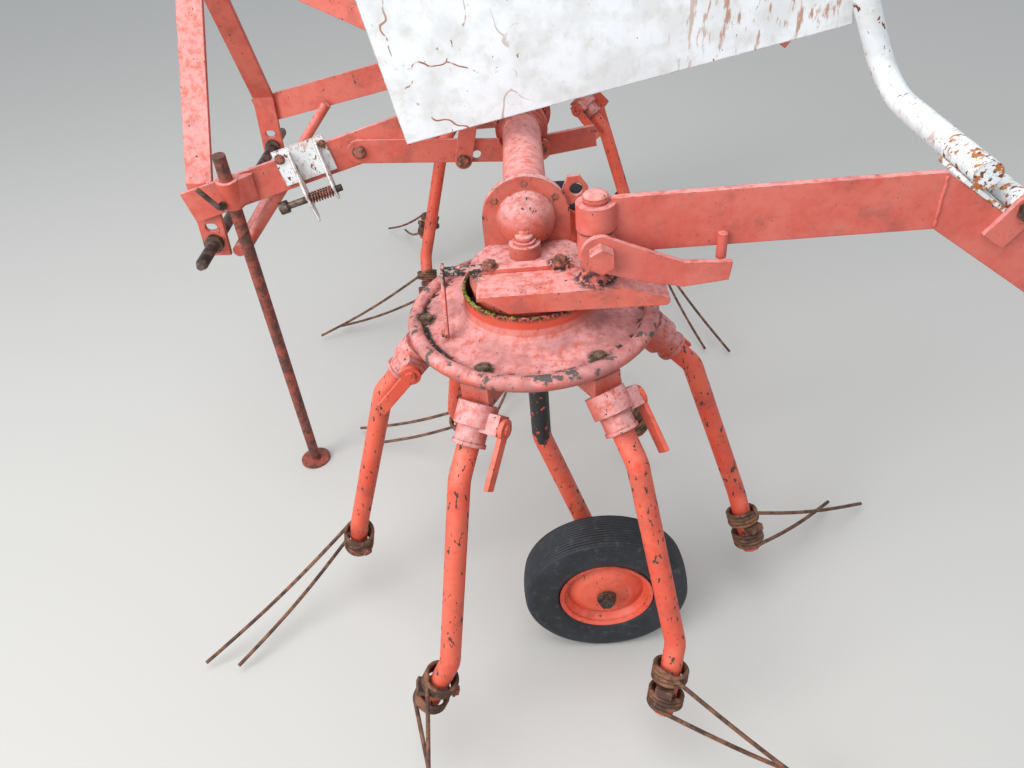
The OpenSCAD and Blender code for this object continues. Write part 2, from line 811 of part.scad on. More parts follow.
// Set screw with a bent handle that holds the stand at its height
module stand_lock() {
    root = stand_at - stand_way * 20 + [16, sleeve_round + seat, 0];
    color(steel) placed() {
        rod(root, root + [0, 9, 0], 11, $fn = 6);
        bent_rod([root + [0, 4, 0], root + [0, 18, 0], root + [38, 20, 52]], 6, 8);
    }
}
module parking_stand() {
    sole = 8;
    color(paint) {
        along_stand(stand_above, sole / 2 - norm(stand_at - stand_foot), stand_diameter / 2);
        placed() translate(stand_foot) cylinder(r = 45, h = sole);
    }
}

// Spring latch on the left beam; each rib has its place along the beam and the level of its tip
latch_ribs = [[472, -84], [538, -120]];
pin_out = 30;
pin_down = -62;
pin_radius = 8;
module latch_bracket() {
    color(cream) placed() on_beam() difference() {
        union() {
            translate([453, 0, -27]) cube([126, 5, 85]);
            for (rib = latch_ribs)
                cross_plate(rib[0], 6) polygon([
                    [0, 50], [14, 46], [44, -50], [34, rib[1]], [18, rib[1] + 8], [0, -27]
                ]);
        }
        rod([440, pin_out, pin_down], [600, pin_out, pin_down], pin_radius + running);
    }
}
module latch_pin() {
    color(steel) placed() on_beam() {
        rod([458, pin_out, pin_down], [612, pin_out, pin_down], pin_radius);
        rod([592, pin_out, pin_down], [612, pin_out, pin_down], 15);
    }
}

centre_gearbox();
input_shaft();
cross_tubes();
frame_plates();
rotor_gearboxes();
mast_legs();
link_shaft();
hitch_beams();
mast_braces();
hitch_stays();
link_bars();
link_straps();
rear_stays();
pivot_bases();
pivot_posts();
side_bars();
wheel_legs();
stand_sleeve();
stand_lock();
parking_stand();
latch_bracket();
latch_pin();
at_left() rotor_disc();  // rotor_disc_left
at_left() arm_sockets(left_phase);  // arm_sockets_left
at_left() arm_levers(left_phase);  // arm_levers_left
at_left() tine_arms(left_phase);  // tine_arms_left
at_left() tines(left_phase);  // tines_left
at_left() tine_clamps(left_phase);  // tine_clamps_left
at_right() rotor_disc();  // rotor_disc_right
at_right() arm_sockets(right_phase);  // arm_sockets_right
at_right() arm_levers(right_phase);  // arm_levers_right
at_right() tine_arms(right_phase);  // tine_arms_right
at_right() tines(right_phase);  // tines_right
at_right() tine_clamps(right_phase);  // tine_clamps_right
at_left() rim();  // rim_left
at_left() tyre();  // tyre_left
at_right() rim();  // rim_right
at_right() tyre();  // tyre_right
at_left() gate_arm();  // gate_arm_left
at_left() fold_pin();  // fold_pin_left
at_left() latch_lever();  // latch_lever_left
at_left() board_frame();  // board_frame_left
at_left() swath_board();  // swath_board_left
at_right() gate_arm();  // gate_arm_right
at_right() fold_pin();  // fold_pin_right
at_right() latch_lever();  // latch_lever_right
at_right() board_frame();  // board_frame_right
at_right() swath_board();  // swath_board_right
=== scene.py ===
"""Looks of the two-rotor hay tedder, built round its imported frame.

Frame of the part, in metres: +X forward to the tractor, +Y to the machine's left, +Z up.
"""

import math
import random
from statistics import NormalDist

import bmesh
import bpy
from mathutils import Matrix, Vector


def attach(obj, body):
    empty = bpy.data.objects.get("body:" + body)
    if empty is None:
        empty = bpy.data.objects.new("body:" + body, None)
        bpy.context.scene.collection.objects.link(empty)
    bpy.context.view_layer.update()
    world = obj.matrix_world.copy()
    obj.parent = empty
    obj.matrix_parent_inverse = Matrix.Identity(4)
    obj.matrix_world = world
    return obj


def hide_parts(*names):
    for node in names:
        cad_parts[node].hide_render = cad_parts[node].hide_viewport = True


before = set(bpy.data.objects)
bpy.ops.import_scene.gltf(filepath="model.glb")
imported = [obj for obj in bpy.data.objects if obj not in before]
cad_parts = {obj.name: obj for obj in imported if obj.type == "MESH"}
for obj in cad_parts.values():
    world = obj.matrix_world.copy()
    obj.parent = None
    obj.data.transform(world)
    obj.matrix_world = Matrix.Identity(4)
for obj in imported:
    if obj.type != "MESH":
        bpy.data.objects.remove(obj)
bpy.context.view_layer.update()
scene = bpy.context.scene

# Sizes and places that the frame has too, in millimetres and degrees. Unless a comment says
# otherwise they are measured back, outward and up from a rotor's axis at the height of its disc.
SIDES = ("left", "right")
HALF_SPACING = 750  # from the middle of the machine to each rotor's axis
SHIFT = 56.08  # of the rotors' axes ahead of the origin
DISC_HEIGHT = 860  # above the ground
ARM_COUNT = 6
PHASES = {"left": 2, "right": 30}  # headings of the first arms
COLLAR_RADIUS = 129
COLLAR_HEIGHT = 64
DISC_BOLT_AT = (206, 5)  # along and across the heading of an arm
DRIVE_HEIGHT = 153  # of the cross tube's middle
FLANGE_FACE = -86  # of the gearbox flanges, where their bolts sit
BAR_OUT = 32  # of the side bars' bolts
BAR_TOP = 118.3
POST_BACK = 118
POST_OUT = 80
GATE_FACE = 7.5  # outward from the middle of a gate arm's plate
WHEEL_BACK = 122
WHEEL_OUT = 143
WHEEL_RADIUS = 187.5
EAR = (2, 217.3, 247)  # outer face of a frame plate's ear, from the middle of the machine
BEAM_FACE = 6.3  # outward from the line of a hitch beam


def at(x, y, z, side="left"):
    """A point given in mm from a rotor's axis and disc, outboard positive, in the row frame."""
    sign = 1 if side == "left" else -1
    return Vector((x + SHIFT, sign * (HALF_SPACING + y), z + DISC_HEIGHT)) / 1000


def middle(x, y, z, side="left"):
    """A point given in mm from the middle of the machine at disc level, in the row frame."""
    return Vector((x + SHIFT, y if side == "left" else -y, z + DISC_HEIGHT)) / 1000


# Ends of the line of a hitch beam, in mm from the middle of the machine
BEAM_REAR = Vector((2, 211.3, 247))
BEAM_FRONT = Vector((790, 327.8, 76))
beam_way = (BEAM_FRONT - BEAM_REAR).normalized()
beam_turn = Matrix.Rotation(math.atan2(beam_way.y, beam_way.x), 3, "Z") @ Matrix.Rotation(
    math.acos(beam_way.z), 3, "Y"
)


def on_beam(x, y, z, side="left"):
    """A point in mm on a hitch beam: forward along it from the rear bolt, out of its face and up."""
    spot = BEAM_REAR + beam_turn @ Vector((-z, y + BEAM_FACE, x))
    return middle(spot.x, spot.y, spot.z, side)


def sideways(way, side):
    """A direction of the left side, mirrored for the right."""
    return Vector((way[0], way[1] if side == "left" else -way[1], way[2]))


def beam_out(side="left"):
    """The way out of a beam's outer face."""
    return sideways(beam_turn @ Vector((0, 1, 0)), side)


# Finishes: each is laid on in coats, from the lowest up


def linear(code):
    """An sRGB hex colour as linear RGBA."""
    parts = [int(code[i : i + 2], 16) / 255 for i in (0, 2, 4)]
    return [c / 12.92 if c <= 0.04045 else ((c + 0.055) / 1.055) ** 2.4 for c in parts] + [1]


def add(tree, kind, inputs=None, **settings):
    """Adds a node with its settings; an input given as a socket is linked, any other is set."""
    made = tree.nodes.new(kind)
    for name, value in settings.items():
        setattr(made, name, value)
    for name, value in (inputs or {}).items():
        if isinstance(value, bpy.types.NodeSocket):
            tree.links.new(value, made.inputs[name])
        else:
            made.inputs[name].default_value = value
    return made


NOISE_MEAN = 0.5
NOISE_SPREAD = 0.09


class Finish:
    """A material laid on in coats, from the lowest up."""

    def __init__(self, name, colour, rough, metallic=0.0):
        self.material = bpy.data.materials.new(name)
        self.material.use_nodes = True
        self.tree = self.material.node_tree
        self.tree.nodes.clear()
        self.shader = add(self.tree, "ShaderNodeBsdfPrincipled")
        add(self.tree, "ShaderNodeOutputMaterial", {"Surface": self.shader.outputs["BSDF"]})
        self.shader.inputs["Metallic"].default_value = metallic
        place = add(self.tree, "ShaderNodeTexCoord")
        self.spot = place.outputs["Object"]
        self.normal = add(self.tree, "ShaderNodeSeparateXYZ", {"Vector": place.outputs["Normal"]})
        self.colour = linear(colour)
        self.rough = rough
        self.height = 0.0
        self.rounded = None
        self.count = 0

    def calc(self, operation, *values):
        """Arithmetic on sockets and numbers."""
        made = add(self.tree, "ShaderNodeMath", dict(enumerate(values)), operation=operation)
        return made.outputs["Value"]

    def ramp(self, value, low, high):
        """A mask that rises from 0 at low to 1 at high."""
        ends = {"Value": value, "From Min": low, "From Max": high}
        made = add(self.tree, "ShaderNodeMapRange", ends, interpolation_type="SMOOTHSTEP")
        return made.outputs["Result"]

    def both(self, *masks):
        """Where all the masks are."""
        result = masks[0]
        for mask in masks[1:]:
            result = self.calc("MULTIPLY", result, mask)
        return result

    def patches(self, size, cover, soft=0.02, detail=3, stretch=(1, 1, 1), more=None, gain=0.0):
        """Patches about size mm wide over a share of the surface, and over more where a mask is."""
        # Each set of patches reads the noise at a place of its own
        self.count += 1
        away = (0.37 * self.count, 0.61 * self.count, 0.13)
        moved = add(
            self.tree, "ShaderNodeMapping", {"Vector": self.spot, "Location": away, "Scale": stretch}
        )
        noise = add(
            self.tree,
            "ShaderNodeTexNoise",
            {"Vector": moved.outputs[0], "Scale": 1000 / size, "Detail": detail, "Roughness": 0.62},
        )
        value = noise.outputs["Fac"]
        if more is not None:
            value = self.calc("MULTIPLY_ADD", more, gain, value)
        # The noise is close to a normal distribution, so this level leaves the wanted share above it
        level = NOISE_MEAN + NOISE_SPREAD * NormalDist().inv_cdf(1 - cover)
        return self.ramp(value, level - soft, level + soft)

    def facing(self, low, high):
        """Where the surface faces the sky."""
        return self.ramp(self.normal.outputs["Z"], low, high)

    def edges(self, radius=3):
        """Where a normal rounded over a radius in mm leaves the true one; the relief uses it too."""
        self.rounded = add(self.tree, "ShaderNodeBevel", {"Radius": radius / 1000}, samples=4)
        true = add(self.tree, "ShaderNodeNewGeometry")
        agree = add(
            self.tree,
            "ShaderNodeVectorMath",
            {0: self.rounded.outputs["Normal"], 1: true.outputs["Normal"]},
            operation="DOT_PRODUCT",
        )
        return self.ramp(agree.outputs["Value"], 0.98, 0.8)

    def mirrored_spot(self):
        """The place on the left half of the machine, so that a mark is on both sides."""
        split = add(self.tree, "ShaderNodeSeparateXYZ", {"Vector": self.spot})
        across = self.calc("ABSOLUTE", split.outputs["Y"])
        return [split.outputs["X"], across, split.outputs["Z"]]

    def near(self, place, reach, soft, weights=(1, 1, 1)):
        """Where the surface is within reach mm of a place, or of a line along a zero weight's axis."""
        kind = "ShaderNodeVectorMath"
        spot = add(self.tree, "ShaderNodeCombineXYZ", dict(enumerate(self.mirrored_spot())))
        apart = add(self.tree, kind, {0: spot.outputs[0], 1: tuple(place)}, operation="SUBTRACT")
        weighed = add(self.tree, kind, {0: apart.outputs[0], 1: weights}, operation="MULTIPLY")
        far = add(self.tree, kind, {0: weighed.outputs[0]}, operation="LENGTH")
        return self.ramp(far.outputs["Value"], (reach + soft) / 1000, (reach - soft) / 1000)

    def lay(self, colour, mask, rough=None, rise=0):
        """A coat of a colour over a mask, with its own roughness and its height in mm."""
        # A mix node has its factor at 0, two numbers at 2 and 3 and two colours at 6 and 7, and
        # gives a number at 0 and a colour at 2
        mixed = {0: mask, 6: self.colour, 7: linear(colour)}
        self.colour = add(self.tree, "ShaderNodeMix", mixed, data_type="RGBA").outputs[2]
        if rough is not None:
            self.rough = add(self.tree, "ShaderNodeMix", {0: mask, 2: self.rough, 3: rough}).outputs[0]
        if rise:
            self.height = self.calc("MULTIPLY_ADD", mask, rise, self.height)

    def done(self):
        """Connects the coats to the shader and gives the material."""
        for name, value in (("Base Color", self.colour), ("Roughness", self.rough)):
            if isinstance(value, bpy.types.NodeSocket):
                self.tree.links.new(value, self.shader.inputs[name])
            else:
                self.shader.inputs[name].default_value = value
        if isinstance(self.height, bpy.types.NodeSocket):
            relief = {"Height": self.height, "Distance": 0.001, "Strength": 0.8}
            if self.rounded is not None:
                relief["Normal"] = self.rounded.outputs["Normal"]
            bump = add(self.tree, "ShaderNodeBump", relief)
            self.tree.links.new(bump.outputs["Normal"], self.shader.inputs["Normal"])
        return self.material


def enamel(name, fresh, faded, chalk_and_sheen_colour, chips, chalk_and_sheen_strength, grime=0.2, chip_stretch=(1, 1, 0.4)):
    """Old red enamel on steel: faded in patches, chalky and lightened by a painted sky sheen where it
    faces the sky, chipped to dark rust.

    chips and grime are shares of the surface. The colour after the faded one is the chalk with its
    painted sky sheen, and the number after chips is how strongly it is laid.
    """
    paint = Finish(name, fresh, 0.5)
    # Sun has faded it in soft patches about 120 mm wide
    paint.lay(faded, paint.patches(120, 0.5, soft=0.08, detail=4))
    # Lavender-pink chalk on what faces the sky, partly real chalking and partly a painted sky sheen,
    # lighter the more a face looks up, broken by a 14 mm mottle
    chalk_and_sky_sheen = paint.both(paint.facing(-0.25, 0.85), paint.patches(14, 0.75, soft=0.16, detail=6))
    paint.lay(chalk_and_sheen_colour, paint.calc("MULTIPLY", chalk_and_sky_sheen, chalk_and_sheen_strength), rough=0.8)
    # Brown grime in 50 mm patches and in fine specks
    dirt = paint.patches(50, grime, soft=0.09, detail=8)
    paint.lay("6B443B", paint.calc("MULTIPLY", dirt, 0.3), rough=0.85)
    speck = paint.patches(5, 0.012, detail=2, more=dirt, gain=0.03)
    paint.lay("4A342E", paint.calc("MULTIPLY", speck, 0.6), rough=0.9)
    # Chips down to dark rusty steel, longer than wide, with a step at their edge
    chip = paint.patches(9, chips, soft=0.012, detail=2, stretch=chip_stretch, more=dirt, gain=0.05)
    paint.lay("43342F", chip, rough=0.85, rise=-0.35)
    # Rubbed through along the edges
    worn = paint.edges()
    rub = paint.both(worn, paint.patches(16, 0.35, soft=0.05, detail=5))
    paint.lay("5A4038", rub, rough=0.7, rise=-0.2)
    # Brush marks and dust make it dull
    grain = paint.patches(2.5, 0.5, soft=0.15, detail=3)
    paint.height = paint.calc("MULTIPLY_ADD", grain, 0.12, paint.height)
    return paint


def rusty(name, light, dark, metallic, rough=0.78, scale=30):
    """Hot-worked steel gone to brown rust, with pits and lighter scale in patches of scale mm."""
    metal = Finish(name, dark, rough, metallic)
    metal.lay(light, metal.patches(scale, 0.5, soft=0.1, detail=8))
    metal.lay("2C2320", metal.calc("MULTIPLY", metal.patches(9, 0.2, soft=0.05, detail=5), 0.6))
    metal.edges(1.5)
    metal.height = metal.calc("MULTIPLY", metal.patches(3, 0.5, soft=0.15), 0.35)
    return metal.done()


def white_alkyd(name, chips, orange_edges):
    """Off-white paint gone grey, with rusty dots and orange rust, over shares of it and of its edges."""
    paint = Finish(name, "D6DADC", 0.42)
    # Greyed in broad patches, and a thin film of dirt
    paint.lay("C9CCCC", paint.patches(90, 0.4, soft=0.1, detail=4))
    film = paint.patches(35, 0.2, soft=0.1, detail=8)
    paint.lay("ADA594", paint.calc("MULTIPLY", film, 0.3), rough=0.75)
    # Rusty dots, and orange stains of about their size
    upright = (1, 1, 0.6)
    stain = paint.patches(12, chips * 2.2, soft=0.03, detail=4, stretch=upright)
    paint.lay("B27A4C", paint.calc("MULTIPLY", stain, 0.55), rough=0.8)
    dots = paint.patches(12, chips, soft=0.01, detail=4, stretch=upright)
    paint.lay("6B3D22", dots, rough=0.9, rise=-0.2)
    # Rust along the edges
    worn = paint.edges(4)
    rusted = paint.both(worn, paint.patches(14, orange_edges, soft=0.06, detail=5))
    paint.lay("8A4E2A", rusted, rough=0.85, rise=-0.15)
    return paint


def disc_enamel(side):
    """Enamel of a rotor disc: rubbed roll, soot in the trough, stains round its bolts, mossy collar with
    painted shade on its lip and inside.
    """
    name = "weathered_enamel_on_" + side + "_disc"
    paint = enamel(name, "B5482F", "BB5A49", "CF9694", chips=0.008, chalk_and_sheen_strength=0.8)
    # Radius, heading and level of the surface in the rotor's own frame; the ramps go by metres
    split = paint.mirrored_spot()
    along = paint.calc("SUBTRACT", split[0], SHIFT / 1000)
    across = paint.calc("SUBTRACT", split[1], HALF_SPACING / 1000)
    level = paint.calc("SUBTRACT", split[2], DISC_HEIGHT / 1000)
    squares = paint.calc("MULTIPLY_ADD", along, along, paint.calc("MULTIPLY", across, across))
    radius = paint.calc("SQRT", squares)
    heading = paint.calc("ARCTAN2", across, along)
    # The dish has dulled to a dusty brown-pink in broad patches
    dish = paint.both(paint.ramp(radius, 0.128, 0.145), paint.patches(70, 0.55, soft=0.1, detail=5))
    paint.lay("94605E", paint.calc("MULTIPLY", dish, 0.6), rough=0.8)
    # Paint rubbed off the roll by hay, in long patches
    roll = paint.ramp(radius, 0.219, 0.225)
    rubbed = paint.both(roll, paint.patches(26, 0.2, soft=0.03, detail=5))
    paint.lay("4C4643", rubbed, rough=0.75, rise=-0.15)
    # A thin dark line where the dish meets the roll, and soot in a part of the trough
    trough = paint.both(paint.ramp(radius, 0.199, 0.207), paint.ramp(radius, 0.219, 0.212))
    paint.lay("33282A", paint.both(trough, paint.patches(18, 0.4, soft=0.06, detail=6)), rough=0.9)
    off_middle = paint.calc("ABSOLUTE", paint.calc("SUBTRACT", heading, math.radians(20)))
    sooty = paint.both(trough, paint.ramp(off_middle, math.radians(36), math.radians(22)))
    paint.lay("1E1B1C", paint.both(sooty, paint.patches(9, 0.75, soft=0.05, detail=5)), rough=0.95)
    # Mossy stains round the six bolts
    sixth = 2 * math.pi / ARM_COUNT
    away = paint.calc("SUBTRACT", heading, math.radians(PHASES[side]))
    folded = paint.calc("WRAP", away, sixth / 2, -sixth / 2)
    arm_x = paint.calc("MULTIPLY", radius, paint.calc("COSINE", folded))
    arm_y = paint.calc("MULTIPLY", radius, paint.calc("SINE", folded))
    bolt_x = paint.calc("SUBTRACT", arm_x, DISC_BOLT_AT[0] / 1000)
    bolt_y = paint.calc("SUBTRACT", arm_y, DISC_BOLT_AT[1] / 1000)
    square = paint.calc("MULTIPLY_ADD", bolt_x, bolt_x, paint.calc("MULTIPLY", bolt_y, bolt_y))
    around = paint.ramp(paint.calc("SQRT", square), 0.025, 0.016)
    paint.lay("3C362A", paint.both(around, paint.patches(8, 0.75, soft=0.08, detail=5)), rough=0.95)
    # The collar: brighter wall. Its lip is dark, partly dirt and partly painted shade of the gap behind
    # it, with moss on it
    wall = paint.both(paint.ramp(radius, 0.136, 0.131), paint.ramp(level, 0.036, 0.042))
    paint.lay("C8442A", paint.calc("MULTIPLY", wall, 0.7))
    # The dark laid on the lip is partly dirt and partly painted shade of the gap to the gearbox
    lip_dirt_and_shade = paint.both(paint.ramp(radius, 0.134, 0.13), paint.ramp(level, 0.05, 0.0625))
    paint.lay("2A2620", paint.both(lip_dirt_and_shade, paint.patches(8, 0.7, soft=0.06, detail=5)), rough=0.95)
    green = paint.both(lip_dirt_and_shade, paint.patches(10, 0.12, soft=0.04, detail=5))
    paint.lay("6F6B33", green, rough=1.0, rise=0.5)
    # Painted shade: the inner face of the collar wall, in the gap to the gearbox, is darkened
    inside_shade = paint.ramp(radius, 0.127, 0.122)
    paint.lay("26221E", paint.calc("MULTIPLY", inside_shade, 0.9), rough=1.0)
    return paint.done()


def frame_enamel():
    """Enamel of the frame: the side bars' front thirds black with lichen, dirt round posts and bolts."""
    paint = enamel("weathered_enamel_on_frame", "BD4C39", "C65E4C", "D29A97", chips=0.008, chalk_and_sheen_strength=0.75)
    # The front third of a side bar, black and then with pale lichen on the black
    bar = paint.near(at(122, BAR_OUT, 118), 44, 10, (1, 0.9, 1))
    paint.lay("2B2725", paint.both(bar, paint.patches(15, 0.62, soft=0.06, detail=6)), rough=0.95)
    lichen = paint.both(bar, paint.patches(7, 0.2, soft=0.03, detail=5))
    paint.lay("8C8B80", lichen, rough=1.0, rise=0.2)
    # Dirt at the foot of the post, at the bar's rear bolt, on the ear and along the flange
    foot = paint.near(at(-POST_BACK, POST_OUT, 112), 42, 12)
    paint.lay("33292A", paint.both(foot, paint.patches(12, 0.6, soft=0.08, detail=6)), rough=0.95)
    bolt = paint.near(at(-57, BAR_OUT, 118), 24, 6)
    paint.lay("332B26", paint.both(bolt, paint.patches(8, 0.6, soft=0.06, detail=6)), rough=0.95)
    ear = paint.near(middle(2, 217, 247), 40, 6)
    paint.lay("4A3A36", paint.both(ear, paint.patches(10, 0.45, soft=0.06, detail=6)), rough=0.85)
    seam = paint.near(at(0, -85, DRIVE_HEIGHT), 12, 5, (0, 1, 0))
    paint.lay("4A332E", paint.both(seam, paint.patches(14, 0.5, soft=0.08, detail=6)), rough=0.9)
    return paint.done()


def leg_enamel():
    """Wheel legs: red enamel below, bitumen black above with flakes off."""
    name = "enamel_with_bitumen_black_top"
    paint = enamel(name, "C4442A", "CC5236", "CF8A7C", chips=0.05, chalk_and_sheen_strength=0.5)
    split = paint.mirrored_spot()
    edge = paint.calc("MULTIPLY_ADD", paint.patches(20, 0.5, soft=0.15, detail=5), 0.03, split[2])
    black = paint.ramp(edge, 0.545, 0.55)
    flaked = paint.calc("SUBTRACT", 1, paint.patches(12, 0.08, soft=0.015, detail=3))
    paint.lay("1B1B1D", paint.both(black, flaked), rough=0.5, rise=0.2)
    return paint.done()


def board_alkyd():
    """White sheet: rusty edges, curved scratches at its front corner, brown streaks at its rear."""
    paint = white_alkyd("weathered_white_sheet", chips=0.008, orange_edges=0.75)
    # Scratches: the seams between warped cells, kept to the front corner
    warped = add(paint.tree, "ShaderNodeTexNoise", {"Vector": paint.spot, "Scale": 9, "Detail": 2})
    shifted = add(
        paint.tree,
        "ShaderNodeVectorMath",
        {0: warped.outputs["Color"], 1: (0.12, 0.12, 0.12), 2: paint.spot},
        operation="MULTIPLY_ADD",
    )
    cells = add(
        paint.tree,
        "ShaderNodeTexVoronoi",
        {"Vector": shifted.outputs[0], "Scale": 7},
        feature="DISTANCE_TO_EDGE",
    )
    line = paint.ramp(cells.outputs["Distance"], 0.016, 0.006)
    corner = paint.near(middle(200, 330, 320), 190, 90, (1, 0, 1))
    scratch = paint.both(line, corner, paint.patches(60, 0.5, soft=0.03, detail=4))
    paint.lay("8E5630", scratch, rough=0.85, rise=-0.1)
    # Streaks run down the rear of the sheet
    streak = paint.both(
        paint.patches(16, 0.16, soft=0.04, detail=5, stretch=(1, 1, 0.22)),
        paint.near(middle(-520, 330, 420), 200, 120, (1, 0, 1)),
    )
    paint.lay("9A6238", paint.calc("MULTIPLY", streak, 0.8), rough=0.85)
    # The sheet isn't flat
    dents = paint.patches(70, 0.5, soft=0.15, detail=2)
    paint.height = paint.calc("MULTIPLY_ADD", dents, 0.5, paint.height)
    return paint.done()


def tube_alkyd():
    """White tube and its seat: long narrow rust chips on the bend, heavy orange flakes on the seat."""
    paint = white_alkyd("weathered_white_tube", chips=0.02, orange_edges=0.6)
    chip = paint.patches(14, 0.05, soft=0.01, detail=3, stretch=(0.35, 1, 0.5))
    paint.lay("6E3C20", chip, rough=0.9, rise=-0.3)
    seat = paint.near(at(-760, 60, 225), 90, 25, (1, 0.6, 1))
    flakes = paint.both(seat, paint.patches(22, 0.24, soft=0.03, detail=6))
    paint.lay("A2622F", flakes, rough=0.9, rise=0.2)
    paint.lay("4A2C1C", paint.both(seat, paint.patches(9, 0.1, soft=0.03, detail=5)), rough=0.95)
    return paint.done()


def rubber():
    """Old carbon-black rubber, blue-grey, dusty between its ribs."""
    tread = Finish("old_tyre_rubber", "14181E", 0.6)
    tread.lay("1E232B", tread.patches(60, 0.45, soft=0.1, detail=5))
    dust = tread.patches(18, 0.12, soft=0.08, detail=8)
    tread.lay("5A574F", tread.calc("MULTIPLY", dust, 0.4), rough=0.95)
    tread.height = tread.calc("MULTIPLY", tread.patches(3, 0.5, soft=0.15), 0.15)
    return tread.done()


def green_moss():
    """Moss in dull yellow-green tufts."""
    tuft = Finish("green_moss", "5C6A22", 0.95)
    tuft.lay("9AA038", tuft.patches(5, 0.45, soft=0.08))
    tuft.height = tuft.calc("MULTIPLY", tuft.patches(1.5, 0.5, soft=0.1), 0.8)
    return tuft.done()


frame_red = frame_enamel()
gate_red = enamel(
    "weathered_enamel_on_gate_arm",
    fresh="BC4E3F", faded="C25D4E", chalk_and_sheen_colour="D29A98", chips=0.004, chalk_and_sheen_strength=0.65, grime=0.12,
).done()
cast_red = enamel(
    "weathered_enamel_on_castings",
    fresh="B04631", faded="BA5643", chalk_and_sheen_colour="C99A99", chips=0.02, chalk_and_sheen_strength=0.85, grime=0.3,
).done()
arm_red = enamel(
    "chipped_enamel_on_arm_tube",
    fresh="C8432A", faded="CC5238", chalk_and_sheen_colour="D08576", chips=0.055, chalk_and_sheen_strength=0.3, chip_stretch=(1, 1, 0.35),
).done()
rim_red = enamel(
    "scratched_enamel_on_rim",
    fresh="D24428", faded="D8583E", chalk_and_sheen_colour="D58273", chips=0.015, chalk_and_sheen_strength=0.3,
).done()
leg_paint = leg_enamel()
board_white = board_alkyd()
tube_white = tube_alkyd()
latch_white = white_alkyd("white_paint_on_latch", chips=0.11, orange_edges=0.9).done()
stand_brown = rusty("worn_brown_stand_bar", "9A4A3A", "5C3A32", metallic=0.1, rough=0.7)
tine_steel = rusty("rusty_spring_steel", "80573F", "4A332A", metallic=0.2)
pin_steel = rusty("greasy_dark_pin_steel", "6B5A50", "38302D", metallic=0.6, rough=0.5)
bright_steel = rusty("chipped_bright_bolt_steel", "B9A79A", "7A5F55", metallic=0.5, rough=0.5, scale=12)
bolt_red = rusty("rusty_red_bolt_steel", "A05A48", "5B3A30", metallic=0.05, scale=12)
mossy_bolt = rusty("mossy_dark_bolt_steel", "6E5240", "3B3527", metallic=0.0, rough=0.95, scale=10)
tyre_black = rubber()
moss = green_moss()
disc_red = {side: disc_enamel(side) for side in SIDES}

# What each node wears; the rest of the frame wears its own enamel
finishes = {
    "centre_gearbox": cast_red,
    "input_shaft": pin_steel,
    "rotor_gearboxes": cast_red,
    "link_shaft": pin_steel,
    "wheel_legs": leg_paint,
    "parking_stand": stand_brown,
    "stand_lock": pin_steel,
    "latch_bracket": latch_white,
    "latch_pin": pin_steel,
}
for side in SIDES:
    finishes["rotor_disc_" + side] = disc_red[side]
    finishes["arm_sockets_" + side] = cast_red
    finishes["arm_levers_" + side] = arm_red
    finishes["tine_arms_" + side] = arm_red
    finishes["tines_" + side] = tine_steel
    finishes["tine_clamps_" + side] = tine_steel
    finishes["rim_" + side] = rim_red
    finishes["tyre_" + side] = tyre_black
    finishes["gate_arm_" + side] = gate_red
    finishes["latch_lever_" + side] = gate_red
    finishes["fold_pin_" + side] = pin_steel
    finishes["board_frame_" + side] = tube_white
    finishes["swath_board_" + side] = board_white
for name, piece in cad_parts.items():
    piece.data.materials.clear()
    piece.data.materials.append(finishes.get(name, frame_red))


# Making pieces


def placed(name, data):
    """An object in the scene."""
    made = bpy.data.objects.new(name, data)
    scene.collection.objects.link(made)
    return made


def keep(name, mesh, body, smooth=True):
    """A mesh as a piece that rides on a body."""
    made = placed(name, mesh)
    for polygon in mesh.polygons:
        polygon.use_smooth = smooth
    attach(made, body)
    return made


def turned_piece(name, profile, places, finish, body, steps=40):
    """A closed profile of (radius, height) in mm turned about Z, at each place in the row frame."""
    points, faces = [], []
    rings = len(profile)
    for place in places:
        first = len(points)
        for i in range(steps):
            angle = 2 * math.pi * i / steps
            for radius, height in profile:
                spot = Vector((radius * math.cos(angle), radius * math.sin(angle), height)) / 1000
                points.append(tuple(place @ spot))
        for i in range(steps):
            near, far = first + i * rings, first + (i + 1) % steps * rings
            for k in range(rings):
                after = (k + 1) % rings
                faces.append((near + k, far + k, far + after, near + after))
    mesh = bpy.data.meshes.new(name)
    mesh.from_pydata(points, [], faces)
    # Points on the axis fall together
    shape = bmesh.new()
    shape.from_mesh(mesh)
    bmesh.ops.remove_doubles(shape, verts=shape.verts, dist=1e-7)
    bmesh.ops.recalc_face_normals(shape, faces=shape.faces)
    shape.to_mesh(mesh)
    shape.free()
    mesh.materials.append(finish)
    return keep(name, mesh, body)


def facing_place(spot, way):
    """A place at a spot with its Z along a way."""
    turn = Vector(way).normalized().to_track_quat("Z", "Y").to_matrix().to_4x4()
    return Matrix.Translation(spot) @ turn


def run_tree(name, seed_mesh, tree, inputs, body, smooth=True):
    """Runs a geometry tree on a seed mesh and keeps its result as a plain mesh piece on a body."""
    seed = placed(name + "_seed", seed_mesh)
    modifier = seed.modifiers.new("tree", "NODES")
    modifier.node_group = tree
    for item in tree.interface.items_tree:
        if item.item_type == "SOCKET" and item.in_out == "INPUT" and item.name in inputs:
            modifier[item.identifier] = inputs[item.name]
    bpy.context.view_layer.update()
    graph = bpy.context.evaluated_depsgraph_get()
    result = bpy.data.meshes.new_from_object(seed.evaluated_get(graph))
    seed.modifiers.remove(modifier)
    bpy.data.objects.remove(seed)
    result.name = name
    return keep(name, result, body, smooth)


